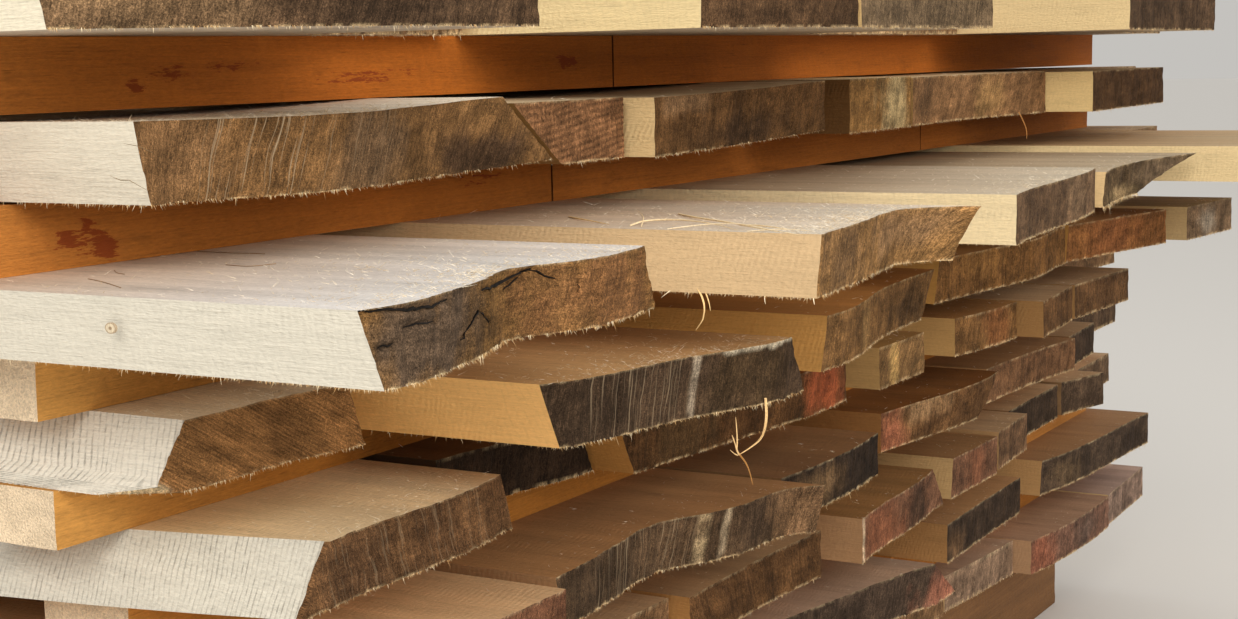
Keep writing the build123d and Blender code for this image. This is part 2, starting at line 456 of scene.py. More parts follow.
def grain_noise(tree, coords, spacing, detail=2.0, roughness=0.5):
    """Noise from 0 to 1 with a bump to each spacing, given in mm along each axis."""
    scaled = add_node(tree, "VectorMath", (coords, spacing), operation="DIVIDE")
    texture = {"Vector": scaled, "Scale": 1.0, "Detail": detail, "Roughness": roughness}
    return add_node(tree, "TexNoise", texture)


def wave(tree, distance, pitch):
    """A wave from -1 to 1 along a distance, one to each pitch."""
    turns = add_node(tree, "Math", (distance, 2 * math.pi / pitch), operation="MULTIPLY")
    return add_node(tree, "Math", (turns,), operation="SINE")


def growth_rings(tree, coords, spacing):
    """Year rings about the tree's heart as a wave from -1 to 1, spaced in mm."""
    wobble = add_node(tree, "MapRange", (grain_noise(tree, coords, (400, 30, 30)), 0, 1, -9, 9))
    flat = add_node(tree, "VectorMath", (coords, (0.004, 1, 1)), operation="MULTIPLY")
    radius = add_node(tree, "VectorMath", (flat,), "Value", operation="LENGTH")
    return wave(tree, add_node(tree, "Math", (radius, wobble), operation="ADD"), spacing)


def layered(tree, operation, patterns):
    """Patterns added or multiplied, each first stretched from its range to its effect."""
    total = {"ADD": 0.0, "MULTIPLY": 1.0}[operation]
    for pattern in patterns:
        total = add_node(tree, "Math", (total, add_node(tree, "MapRange", pattern)), operation=operation)
    return total


def start_material(name, roughness, specular):
    """A new material's node tree and its shader, with the numbers that hold all over."""
    material = bpy.data.materials.new(name)
    material.use_nodes = True
    tree = material.node_tree
    shader = tree.nodes["Principled BSDF"]
    shader.inputs["Roughness"].default_value = roughness
    shader.inputs["IOR"].default_value = 1.5
    shader.inputs["Specular IOR Level"].default_value = specular
    return material, tree, shader


def finish_wood(tree, shader, shade, relief, depth, stain=None):
    """Link the wood's own tone times the shade, and the relief as bump, its depth in mm.

    A stain is how much of another colour shows, and that colour.
    """
    tone = add_node(tree, "Attribute", (), "Color", attribute_name="tone")
    colour = add_node(tree, "VectorMath", {0: tone, "Scale": shade}, operation="SCALE")
    if stain:
        share, other = stain
        colour = add_node(tree, "Mix", {0: share, 6: colour, 7: (*linear(other), 1)}, 2, data_type="RGBA")
    tree.links.new(colour, shader.inputs["Base Color"])
    bump = add_node(tree, "Bump", {"Strength": 1.0, "Distance": depth * MM, "Height": relief})
    tree.links.new(bump, shader.inputs["Normal"])


RESIN_TONE = "#8A3C14"


def rough_sawn_softwood(name, ring_spacing, contrast, blade_pitch, blade_depth, edge_share=1.0):
    """Softwood straight from the saw: matt, with fine long grain and the blade's marks.

    Spacings are in mm along, across and up. Real fibres are finer than 0.8 mm, and
    are drawn that coarse to show. edge_share is how much of the grain's contrast
    shows on the upright sides.
    """
    material, tree, shader = start_material(name, 0.82, 0.25)
    coords = add_node(tree, "Attribute", (), "Vector", attribute_name="wood_mm")
    marks = add_node(tree, "Attribute", (), "Vector", attribute_name="saw_marks")
    furrows, depth, resinous = (add_node(tree, "SeparateXYZ", (marks,), axis) for axis in "XYZ")
    normal = add_node(tree, "NewGeometry", (), "Normal")
    level = add_node(tree, "Math", (add_node(tree, "SeparateXYZ", (normal,), "Z"),), operation="ABSOLUTE")

    # The blade's own fine marks slant over the sides, and bite more in some places.
    slanted = add_node(tree, "VectorMath", (coords, (1.0, 0.18, -0.35)), "Value", operation="DOT_PRODUCT")
    waver = add_node(tree, "MapRange", (grain_noise(tree, coords, (30, 26, 26)), 0, 1, -5, 5))
    waved = add_node(tree, "Math", (slanted, waver), operation="ADD")
    bite = add_node(tree, "MapRange", (grain_noise(tree, coords, (60, 14, 14)), 0.35, 0.7, 0.1, 1.0))
    blade = add_node(tree, "Math", (wave(tree, waved, blade_pitch), bite), operation="MULTIPLY")

    fibres = grain_noise(tree, coords, (28, 0.8, 0.8), 3, 0.6)
    tufts = grain_noise(tree, coords, (3.2, 0.8, 0.8), 3, 0.75)
    shade = layered(tree, "ADD", (
        (fibres, 0.25, 0.75, -1, 0.6),
        (grain_noise(tree, coords, (210, 14, 14), 3, 0.5), 0.3, 0.7, -0.7, 0.5),
        (growth_rings(tree, coords, ring_spacing), -1, 1, -0.22, 0.22),
        (blade, -1, 1, -0.16, 0.16),
        (tufts, 0.3, 0.7, -1.0, 0.6),
        (grain_noise(tree, coords, (14, 1.2, 1.2), 2, 0.6), 0.22, 0.36, -1.8, 0),
        (grain_noise(tree, coords, (46, 12, 12), 4, 0.7), 0.28, 0.42, -1.2, 0),
    ))
    weight = add_node(tree, "MapRange", (level, 0.5, 0.8, contrast * edge_share, contrast))
    shade = add_node(tree, "Math", (shade, weight, 1.0), operation="MULTIPLY_ADD")

    # Coarse furrows, torn at their rims, are deepest on the upright sides.
    furrow = layered(tree, "MULTIPLY", (
        (wave(tree, furrows, 1), 0.35, 1, 0, 1),
        (grain_noise(tree, coords, (1.6, 6, 6), 3, 0.7), 0.35, 0.65, 0.1, 1.4),
        (depth, 0, 1, 0, 1),
        (level, 0.5, 0.8, 1, 0.35),
    ))
    # Each furrow is painted darker along its groove: painted shade.
    shade = add_node(tree, "Math", (furrow, -0.42, shade), operation="MULTIPLY_ADD")
    relief = add_node(tree, "Math", (tufts, 1.6, fibres), operation="MULTIPLY_ADD")
    relief = add_node(tree, "Math", (blade, blade_depth, relief), operation="MULTIPLY_ADD")
    relief = add_node(tree, "Math", (relief, furrow), operation="SUBTRACT")

    # Resin creeps along the fibres from where it came out, so its rim is ragged.
    ragged = grain_noise(tree, coords, (9, 1.6, 1.6), 4, 0.75)
    ragged = add_node(tree, "MapRange", (ragged, 0.3, 0.7, -0.45, 0.45))
    soaked = add_node(tree, "Math", (resinous, ragged), operation="ADD")
    soaked = add_node(tree, "MapRange", (soaked, 0.62, 0.74, 0, 0.9))
    finish_wood(tree, shader, shade, relief, 0.3, (soaked, RESIN_TONE))
    return material


THREAD_TONE = "#BCA484"


def weathered_end_grain(name):
    """Crosscut ends left in the weather: dark, furry and streaked where the saw tore them.

    Hairs, streaks and crevices run down the cut, spaced in mm across and down it, and
    a slow swirl bends them. Their third spacing only sets one board's off from the
    next one's. Pores and specks follow the wood.
    """
    material, tree, shader = start_material(name, 0.9, 0.1)
    coords, cut, marks = (
        add_node(tree, "Attribute", (), "Vector", attribute_name=name)
        for name in ("wood_mm", "cut_mm", "saw_marks")
    )
    furrows, depth, thready = (add_node(tree, "SeparateXYZ", (marks,), axis) for axis in "XYZ")
    swirl = add_node(tree, "VectorMath", (cut, (30, 22, 40)), operation="DIVIDE")
    swirl = add_node(tree, "TexNoise", {"Vector": swirl, "Scale": 1.0, "Detail": 1.0}, "Color")
    pushed = add_node(tree, "VectorMath", (swirl, (4, 1, 0), cut), operation="MULTIPLY_ADD")
    hairs = grain_noise(tree, pushed, (0.4, 2.6, 40), 3, 0.7)
    crevices = grain_noise(tree, pushed, (0.7, 6, 40), 2, 0.6)
    pores = grain_noise(tree, coords, (2, 0.5, 0.5), 2, 0.75)
    broken = add_node(tree, "MapRange", (grain_noise(tree, coords, (3, 5, 5), 3, 0.7), 0.35, 0.65, 0.1, 1.3))
    ridge = add_node(tree, "Math", (wave(tree, furrows, 1), broken), operation="MULTIPLY")
    ridge = add_node(tree, "Math", (ridge, depth), operation="MULTIPLY")
    shade = layered(tree, "MULTIPLY", (
        (hairs, 0.35, 0.65, 0.62, 1.46),
        (grain_noise(tree, pushed, (1.4, 24, 40), 3, 0.6), 0.36, 0.64, 0.78, 1.26),
        # Crevices are painted darker where their bump sinks: painted shade.
        (crevices, 0.3, 0.4, 0.6, 1.05),
        (grain_noise(tree, cut, (14, 10, 40), 4, 0.65), 0.36, 0.64, 0.68, 1.32),
        (pores, 0.36, 0.64, 0.6, 1.5),
        (grain_noise(tree, coords, (4, 1.4, 1.4), 3, 0.8), 0.32, 0.68, 0.76, 1.24),
        (growth_rings(tree, coords, 4.2), -1, 1, 0.9, 1.1),
        (ridge, -1, 1, 0.72, 1.38),
    ))

    # Pale dust sits on the cut, and where it is thready, single fibres stand out.
    dust = add_node(tree, "MapRange", (grain_noise(tree, coords, (4, 0.8, 0.8), 2, 0.6), 0.61, 0.69, 0, 0.9))
    shade = add_node(tree, "Math", (shade, dust), operation="ADD")
    threads = add_node(tree, "MapRange", (grain_noise(tree, pushed, (1.1, 60, 40)), 0.58, 0.68, 0, 0.7))
    threads = add_node(tree, "Math", (threads, thready), operation="MULTIPLY")
    relief = add_node(tree, "Math", (pores, 1.2, hairs), operation="MULTIPLY_ADD")
    relief = add_node(tree, "Math", (relief, crevices), operation="ADD")
    finish_wood(tree, shader, shade, relief, 0.7, (threads, THREAD_TONE))
    return material


def torn_fibre(name):
    """Bundles of fibre that the saw pulled out and left hanging: pale, stringy and matt."""
    material, tree, shader = start_material(name, 0.75, 0.25)
    coords = add_node(tree, "Attribute", (), "Vector", attribute_name="wood_mm")
    strands = grain_noise(tree, coords, (0.5, 0.5, 3))
    shade = add_node(tree, "MapRange", (strands, 0.3, 0.7, 0.75, 1.2))
    finish_wood(tree, shader, shade, strands, 0.15)
    return material


def plain_timber(timber, seed, side, end, chips):
    """A timber with even colours, roughened all over, and its grain's coordinates.

    Each seed puts the tree's heart at another place below the timber, so that no two
    share their grain.
    """
    verts = roughened(timber, chips, seed)
    spots = noise(timber.verts * (0.2, 1, 1), 30, seed + 2)
    colours = np.stack([linear(side), linear(end), linear(side)])
    tones = colours[None] * (1 + 0.12 * spots)[:, None, None]
    heart = np.array([
        seed * 613.0,
        timber.grid[:, 0, 0].mean() + (seed % 5 - 2) * 9,
        timber.grid[..., 1].min() - 20 - seed % 30,
    ])
    cuts = np.column_stack([timber.across + 0.15 * timber.up, timber.up, np.full(len(verts), seed * 7.0)])
    return Piece(verts, timber.faces, timber.kinds, tones, timber.verts - heart, cuts, np.zeros_like(verts))


BEARER_GRAIN = rough_sawn_softwood(
    "rough_sawn_bearer_timber", ring_spacing=5.5, contrast=0.2, blade_pitch=7, blade_depth=0.6,
)
END_GRAIN = weathered_end_grain("weathered_end_grain")
FIBRE_STRANDS = torn_fibre("torn_wood_fibre")

for number in range(1, 6):
    bearer = joined([
        plain_timber(timber_mesh(points, tree, BEARER_CELL, BEARER_RINGS),
                     BEARER_SEED + number, BEARER_TONE, BEARER_END_TONE, BEARER_CHIPS)
        for points, tree in loose_parts(f"bearer_{number}", turned=True)
    ])
    piece = make_object(f"bearer_{number}_sawn", bearer, [BEARER_GRAIN, END_GRAIN, FIBRE_STRANDS],
                        turned=True)
    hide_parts(f"bearer_{number}")


# Stickers. Thin sawn strips of pine, laid across the boards between every two layers
# so that air gets through. Their orange-brown is their own colour with painted shade of
# the stack's inside in it, and they only lie where they are.

# From the lowest strip up, orange-brown with painted shade in it: the lower ones are more golden.
STICKER_TONES = ["#B0702C", "#B87A36", "#B4742E", "#BC7A30", "#B07028", "#BA7C34", "#B06824", "#BC6A20"]
STICKER_CHIPS = 0.3
STICKER_CELL = 4

# Each strip's seed counts on from the first one's, with room for a row's strips.
STICKER_SEED = 60
STRIPS_AT_MOST = 20

# The strips of the first row show between the boards, so only they have fine rings.
SEEN_RINGS = 10
HIDDEN_RINGS = 90

# A strip that reaches within OUTERMOST of the near side shows its fresh end there.
# One further in has its end painted dark: painted shade in the joint with the next strip.
NEAR_SIDE = -cad_box[0][1] / MM
OUTERMOST = 250
STICKER_END_TONE = "#F0D9B8"
STICKER_JOINT_SHADE_TONE = "#6E4220"

# Towards the near side, where light gets into the stack, they are painted golden as
# painted light, fading out over the length below, in mm. Those above the level
# LAST_GOLDEN get only a quarter as much.
STICKER_PAINTED_LIGHT_TONE = "#DEA658"
PAINTED_LIGHT_LENGTH = 120
LAST_GOLDEN = 5

# Resin and knots on the strips that face the cut ends: where each is (y, z), how far
# it reaches along and up, in mm, and how strong it is.
Stain = namedtuple("Stain", "y z long high strength")
STAINS = [
    Stain(-556, 496.6, 4, 3, 1.3), Stain(-534, 501, 14, 4, 0.8), Stain(-500, 503, 18, 3, 0.8),
    Stain(-592, 442, 13, 3.5, 1.0), Stain(-574, 438, 8, 5, 1.2), Stain(-582, 447, 7, 4, 0.9),
    Stain(-420, 497, 30, 3, 0.8), Stain(-330, 447, 24, 3, 0.8), Stain(-250, 502, 10, 4, 1.1),
    Stain(-470, 452, 40, 2, 0.7), Stain(-400, 500, 50, 2, 0.6),
]


def fresh_end_grain(name):
    """Ends cut by a coarse saw and kept dry: pale and granular, with open pores."""
    material, tree, shader = start_material(name, 0.85, 0.2)
    coords = add_node(tree, "Attribute", (), "Vector", attribute_name="wood_mm")
    grains = grain_noise(tree, coords, (3, 0.9, 0.9), 2, 0.7)
    rings = growth_rings(tree, coords, 3.6)
    shade = layered(tree, "ADD", ((grains, 0.35, 0.65, 0.8, 1.14), (rings, -1, 1, -0.06, 0.06)))
    finish_wood(tree, shader, shade, grains, 1.4)
    return material


STICKER_GRAIN = rough_sawn_softwood(
    "rough_sawn_sticker_pine", ring_spacing=3.6, contrast=0.17, blade_pitch=9, blade_depth=0.2,
)
STICKER_END_GRAIN = fresh_end_grain("fresh_sticker_end")


def tinted(tone, colour, weight):
    """Tones that give way to another colour, by a weight from 0 to 1."""
    return tone * (1 - weight) + linear(colour) * weight


def painted_light_tones(strip, made, level):
    """A strip's colours: painted light makes them golden near its open end, but not on the end itself."""
    painted_light = np.exp(-((NEAR_SIDE - strip.verts[:, 0]) / PAINTED_LIGHT_LENGTH) ** 2)[:, None, None]
    if level > LAST_GOLDEN:
        painted_light = painted_light * 0.25
    tones = tinted(made.tones, STICKER_PAINTED_LIGHT_TONE, painted_light)
    tones[:, 1] = made.tones[:, 1]
    return tones


def resin(strip):
    """How strongly resin stains a strip at each point, in the third place of its marks."""
    marks = np.zeros_like(strip.verts)
    for stain in STAINS:
        beside, above = -strip.verts[:, 0] - stain.y, strip.verts[:, 2] - stain.z
        distance = np.hypot(beside / stain.long, above / stain.high)
        marks[:, 2] = np.maximum(marks[:, 2], np.clip(1.5 - distance, 0, 1) * stain.strength)
    return marks


for column in range(1, 6):
    strips = []
    parts = loose_parts(f"sticker_column_{column}", turned=True)
    feet = sorted({round(points[:, 2].min()) for points, _ in parts})
    for number, (points, tree) in enumerate(parts):
        strip = timber_mesh(points, tree, STICKER_CELL, SEEN_RINGS if column == 1 else HIDDEN_RINGS)
        level = feet.index(round(points[:, 2].min()))
        seed = STICKER_SEED + STRIPS_AT_MOST * column + number
        outermost = points[:, 0].max() > NEAR_SIDE - OUTERMOST
        end = STICKER_END_TONE if outermost else STICKER_JOINT_SHADE_TONE
        made = plain_timber(strip, seed, STICKER_TONES[level], end, STICKER_CHIPS)
        if column == 1:
            made = made._replace(tones=painted_light_tones(strip, made, level), marks=resin(strip))
        strips.append(made)
    piece = make_object(f"sticker_column_{column}_strips", joined(strips),
                        [STICKER_GRAIN, STICKER_END_GRAIN, FIBRE_STRANDS], turned=True)
    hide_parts(f"sticker_column_{column}")


# Boards. Softwood boards as they leave the saw, of any width that the log gave, laid
# nine deep. Their long edges and faces are pale and their crosscut ends weathered
# brown, with a fringe of torn fibres where the saw came out at the lower edge.

BOARD_GRAIN = rough_sawn_softwood(
    "rough_sawn_board", ring_spacing=5.0, contrast=0.15, blade_pitch=2.8, blade_depth=0.16, edge_share=0.6,
)

# A spot is a patch of other colour on the end: where it is across and up, how far it
# reaches to the sides and up and down, its colour and how strongly it shows. A streak
# is a thin line down the end, and threads are where fine pale fibres stand out: from
# and to how far across, and how strongly. A crack is its width and a line of points
# (across, up). All are in mm.
Spot = namedtuple("Spot", "across up wide high colour strength", defaults=(0.8,))
Streak = namedtuple("Streak", "across width colour strength")

# How a board looks. top is its upper face near the cut and back the same face further
# in. lean is how far the end's streaks tip from upright at its near and far edges,
# depth the relief of the end, blade the pitch, depth and slope of the saw's marks
# across it, and torn the length of the fibres that hang at the lower edge. cell is
# the spacing of the points on the end. edge_blade is the pitch, depth and slope of
# coarse saw marks on the near edge, and fine_run how far back from the cut the mesh is
# fine enough to hold them. swings says that the near edge curves in towards the cut.
# fuzz is how many loose fibres lie on the top, and grit how many times shorter than a
# clean saw's its streaks are, up to a surface that is crumbly all over.
# Boards further in and lower down have darker, warmer edges, tops and backs than their wood: painted shade
# and warm light bounced inside the stack. Their backs are painted shade on every layer but the top one, whose
# backs are the wood's own colour.
Look = namedtuple(
    "Look",
    "end edge top back lean depth blade spots streaks threads cracks torn cell edge_blade fine_run swings "
    "fuzz grit",
    defaults=("#6E5238", "#C9A878", "#BE9E78", "#B98A58", (-0.1, -0.3), 0.5, (0, 0, 0),
              (), (), (), (), 1.0, 3.0, (3.4, 0.02, -0.2), 0, False, 60, 1.5),
)

# How far in from the cut the top has turned to its back's colour, how far apart a
# board's rings of points are at most, and how near to the cut its end's points lie.
BACK_REACH = 300
BOARD_RINGS = 150
AT_CUT = 0.5
BOARD_CHIPS = 0.3

TORN_TONE = "#D9BC8E"
FURRED_TONE = "#CDB68E"
CRACK_SHADE_TONE = "#130D08"
FRINGE_TONES = ["#EBD9B4", "#D9BC8C", "#C49C68"]
FUZZ_TONES = ["#FBF1DE", "#EADBC0", "#D6C09C"]
FRINGE_THICKNESS = 0.32
FUZZ_THICKNESS = 0.26


def in_plane(first, second):
    """Places on a flat face, as noise takes them."""
    return np.column_stack([first, second, np.zeros(len(first))])


def near_line(across, up, line):
    """How far points lie from a bent line, in mm."""
    distance = np.full(len(across), 1e3)
    for (x0, y0), (x1, y1) in zip(line, line[1:]):
        run, rise = x1 - x0, y1 - y0
        share = np.clip(((across - x0) * run + (up - y0) * rise) / (run * run + rise * rise), 0, 1)
        distance = np.minimum(distance, np.hypot(across - x0 - share * run, up - y0 - share * rise))
    return distance


def end_tone(timber, look, leaning, seed):
    """The colour of a board's end at each point, its foot torn pale and its top furred."""
    across, up = timber.across, timber.up
    height = np.ptp(timber.grid[..., 1])
    places = in_plane(leaning, up * 0.5)
    clouds = 0.26 * noise(places, 20, seed) + 0.16 * noise(places, 7, seed + 1)
    tone = linear(look.end) * (1 + clouds)[:, None]
    for spot in look.spots:
        ragged = 0.3 * noise(places, 9, seed + 2) + 0.15 * noise(places, 3, seed + 6)
        distance = np.hypot((across - spot.across) / spot.wide, (up - spot.up) / spot.high) + ragged
        tone = tinted(tone, spot.colour, np.clip((1 - distance) * 1.5, 0, 1)[:, None] * spot.strength)
    for streak in look.streaks:
        distance = np.abs(leaning - streak.across) / (streak.width / 2 + 0.3)
        broken = np.clip(0.7 + 0.9 * noise(places * (1, 2, 1), 5, seed + 3), 0, 1)
        weight = (np.clip(1.6 - distance, 0, 1) * broken)[:, None] * streak.strength
        tone = tinted(tone, streak.colour, weight)
    torn = np.clip(0.5 + 0.9 * noise(places * (1, 0, 1), 3, seed + 4) - up, 0, 1)
    tone = tinted(tone, TORN_TONE, torn[:, None] * 0.6)
    furred = np.clip(up - height + 0.4 + 0.6 * noise(places * (1, 0, 1), 3, seed + 5), 0, 1)
    return tinted(tone, FURRED_TONE, furred[:, None] * 0.5)


def end_depth(timber, look, leaning, seed):
    """How far each point of a board's end lies behind the cut, in mm."""
    across, up = timber.across, timber.up
    places = in_plane(leaning, up * 0.1)
    depth = look.depth * (0.8 + noise(places, 1.6, seed) * 0.6 + noise(places, 5, seed + 1) * 0.7)
    pitch, bite, slope = look.blade
    if pitch:
        waver = noise(in_plane(across, up), 30, seed + 2) * pitch * 0.5
        depth += bite * (1 + np.sin((up + slope * across + waver) * 2 * math.pi / pitch))
    for _, line in look.cracks:
        depth += 1.4 * np.clip(1.4 - near_line(across, up, line) / 0.9, 0, 1)
    return np.maximum(depth, 0)


# A strand of wood has three corners. Where they lie round its middle, in radians.
THREE_TURNS = (0, 2.1, 4.2)


def strand(points, widths, tone, seed):
    """A thin three-sided splinter along given points, with a width at each, in mm."""
    points = np.asarray(points, float)
    along = np.gradient(points, axis=0)
    along /= np.linalg.norm(along, axis=1)[:, None] + 1e-9
    side = np.cross(along, (0.3, 0.2, 1.0))
    side /= np.linalg.norm(side, axis=1)[:, None] + 1e-9
    other = np.cross(along, side)
    half = np.asarray(widths)[:, None] / 2
    corners = [points + (side * math.cos(turn) + other * math.sin(turn)) * half for turn in THREE_TURNS]
    verts = np.stack(corners, 1).reshape(-1, 3)
    faces = [(2, 1, 0)]
    for i in range(len(points) - 1):
        for j in range(3):
            k = (j + 1) % 3
            faces.append((3 * i + j, 3 * i + k, 3 * i + 3 + k, 3 * i + 3 + j))
    last = 3 * len(points)
    faces.append((last - 3, last - 2, last - 1))
    tones = np.tile(linear(tone), (len(verts), 3, 1))
    zeros = np.zeros_like(verts)
    return Piece(verts, faces, np.full(len(faces), FIBRE), tones, verts + seed, zeros, zeros)


def rounded(points):
    """Given points with their corners cut twice, so that the line bends softly."""
    points = np.asarray(points, float)
    for _ in range(2):
        near, far = points[:-1], points[1:]
        cut = np.stack([near * 0.75 + far * 0.25, near * 0.25 + far * 0.75], 1).reshape(-1, 3)
        points = np.concatenate([points[:1], cut, points[-1:]])
    return points


def splinter(points, thickness, tone):
    """A strand that is thickest a third of the way along and runs out to a point."""
    points = rounded(points)
    share = np.linspace(0, 1, len(points))
    return strand(points, thickness * (1.15 - share) * np.minimum(1, 0.6 + share), tone, 1)


def fuzz(places, ways, lengths, thickness, palette, seed):
    """Many tiny loose fibres at once: slim spikes from their places along their ways."""
    chance = np.random.default_rng(seed)
    ways = ways / np.linalg.norm(ways, axis=1)[:, None]
    side = np.cross(ways, (0.1, 0.2, 1.0))
    side /= np.linalg.norm(side, axis=1)[:, None]
    other = np.cross(ways, side)
    foot = [places + (side * math.cos(turn) + other * math.sin(turn)) * thickness / 2 for turn in THREE_TURNS]
    verts = np.stack([*foot, places + ways * lengths[:, None]], 1).reshape(-1, 3)
    first = 4 * np.arange(len(places))[:, None, None]
    faces = (first + np.array([(2, 1, 0), (0, 1, 3), (1, 2, 3), (2, 0, 3)])).reshape(-1, 3)
    shades = np.array([linear(tone) for tone in palette])[chance.integers(len(palette), size=len(places))]
    tones = np.repeat(np.repeat(shades, 4, axis=0)[:, None], 3, axis=1)
    zeros = np.zeros_like(verts)
    return Piece(verts, faces.tolist(), np.full(len(faces), FIBRE), tones, verts + seed, zeros, zeros)


# How many fibres of the fringe there are to each mm of a board's width.
FRINGE_DENSITY = 1.3


def rim_places(timber, row, share):
    """Places along the foot (row 0) or the top (row -1) of a board's cut, by their share."""
    steps = np.linspace(0, 1, len(timber.front))
    lines = (timber.front[:, row], *timber.grid[:, row].T)
    return np.stack([np.interp(share, steps, line) for line in lines], 1)


def torn_fringe(timber, look, seed):
    """Fibres at the lower edge of a board's end, short and dense, with a few long ones."""
    chance = np.random.default_rng(seed)
    count = int(np.ptp(timber.grid[:, 0, 0]) * FRINGE_DENSITY)
    root = rim_places(timber, 0, chance.random(count))
    ways = np.column_stack([
        0.2 + 0.4 * chance.random(count), chance.normal(0, 0.5, count), np.full(count, -1.0),
    ])
    lengths = look.torn * (0.4 + 0.9 * chance.random(count) + 2.4 * chance.random(count) ** 24)
    return fuzz(root + (-0.9, 0, 0.5), ways, lengths + 0.6, FRINGE_THICKNESS, FRINGE_TONES, seed)


def loose_fibres(timber, look, seed):
    """Fibres that the saw pulled up, lying on the top near the cut."""
    chance = np.random.default_rng(seed + 50)
    count = look.fuzz
    root = rim_places(timber, -1, 0.01 + 0.98 * chance.random(count))
    root[:, 0] -= 1 + chance.exponential(np.where(chance.random(count) < 0.4, 12, 75))
    ways = np.column_stack([
        chance.choice([-1, 1], count) * (0.4 + chance.random(count)),
        chance.normal(0, 0.6, count), 0.1 + 0.35 * chance.random(count),
    ])
    lengths = 0.8 + 1.8 * chance.random(count) + 4 * chance.random(count) ** 14
    return fuzz(root - (0, 0, 0.25), ways, lengths, FUZZ_THICKNESS, FUZZ_TONES, seed + 50)


def hanging_fibres(timber, look, seed):
    """A sparse fringe along the foot of a near board's long edge."""
    chance = np.random.default_rng(seed + 70)
    count = look.fuzz // 8
    across, up = timber.grid[0, 0]
    along = timber.front[0, 0] - 2 - chance.exponential(110, count)
    root = np.column_stack([along, np.full(count, across + 0.4), np.full(count, up + 0.3)])
    ways = np.column_stack([
        chance.normal(0, 0.5, count), -0.2 - 0.3 * chance.random(count), np.full(count, -1.0),
    ])
    lengths = 0.7 + 0.9 * chance.random(count) + 2 * chance.random(count) ** 10
    return fuzz(root, ways, lengths, FUZZ_THICKNESS, FRINGE_TONES, seed + 70)


def crack_lines(timber, verts, look, seed):
    """Open cracks on a board's end, thinning out to both sides, each a near-black strand in its groove:
    painted shade.
    """
    made = []
    cap = slice(0, timber.front.size)
    across, up = timber.across[cap], timber.up[cap]
    for width, line in look.cracks:
        points = []
        for (x0, y0), (x1, y1) in zip(line, line[1:]):
            steps = max(2, round(math.hypot(x1 - x0, y1 - y0) / 2.5))
            points += [(x0 + (x1 - x0) * i / steps, y0 + (y1 - y0) * i / steps) for i in range(steps)]
        points = np.array([*points, line[-1]])
        jolts = [noise(in_plane(*points.T), 1.3, seed + i) for i in (8, 9)]
        points[1:-1] += 0.75 * np.column_stack(jolts)[1:-1]
        nearest = [np.argmin((across - x) ** 2 + (up - y) ** 2) for x, y in points]
        places = verts[cap][nearest]
        places[:, 1:] += points - np.column_stack([across, up])[nearest]
        places[:, 0] += 0.4
        middle = np.sin(np.linspace(0.12, math.pi - 0.12, len(points)))
        uneven = 1 + 0.6 * noise(places, 3, seed + 10)
        made.append(strand(places, width * (0.3 + 1.0 * middle * uneven), CRACK_SHADE_TONE, seed))
    return made


def board_tones(timber, look, leaning, seed):
    """The colours of a board's top, end and edge at each point."""
    cloud = noise(timber.verts * (0.12, 1, 1), 40, seed + 5)[:, None]
    patches = noise(timber.verts * (0.3, 1, 1), 16, seed + 7)[:, None]
    # Inward from the cut the top turns to its back colour: painted shade inside the stack, but the wood's own
    # colour on the top layer.
    inner = np.clip(timber.along[:, None] / BACK_REACH + 0.12 * cloud, 0, 1)
    tones = np.empty((len(cloud), 3, 3))
    tones[:, 0] = tinted(linear(look.top), look.back, inner) * (1 + 0.08 * cloud + 0.06 * patches)
    tones[:, 1] = end_tone(timber, look, leaning, seed)
    tones[:, 2] = linear(look.edge) * (1 + 0.05 * cloud + 0.03 * patches)
    return tones


def edge_marks(timber, look, seed):
    """A count of the furrows on a board's near edge, how strong they are, and their depth."""
    pitch, bite, slope = look.edge_blade
    flat = in_plane(timber.along, timber.up)
    waver = noise(flat, 40, seed + 4) * pitch * 1.2 + noise(flat, 11, seed + 9) * pitch * 0.5
    count = (timber.along + slope * timber.up + waver) / pitch
    strength = np.clip(0.75 + 0.5 * noise(flat, 18, seed + 8), 0, 1) * min(1, bite * 5)
    groove = (0.5 + 0.5 * np.sin(2 * math.pi * count)) * strength * (timber.along < look.fine_run)
    return count, strength, np.clip(1 - timber.across / 12, 0, 1) * bite * 2 * groove


def mark_end(marks, timber, look, leaning, seed):
    """Add a board's end's threads and level saw marks to its marks."""
    at_front = timber.along < AT_CUT
    for start, stop, strength in look.threads:
        inside = np.clip(np.minimum(leaning - start, stop - leaning) / 6 + 0.5, 0, 1)
        marks[at_front, 2] += (inside * strength)[at_front]
    pitch, bite, slope = look.blade
    if pitch:
        waver = noise(in_plane(timber.across, timber.up), 30, seed + 2) * 0.5
        marks[at_front, 0] = ((timber.up + slope * timber.across) / pitch + waver)[at_front]
        marks[at_front, 1] = min(1, bite * 4)


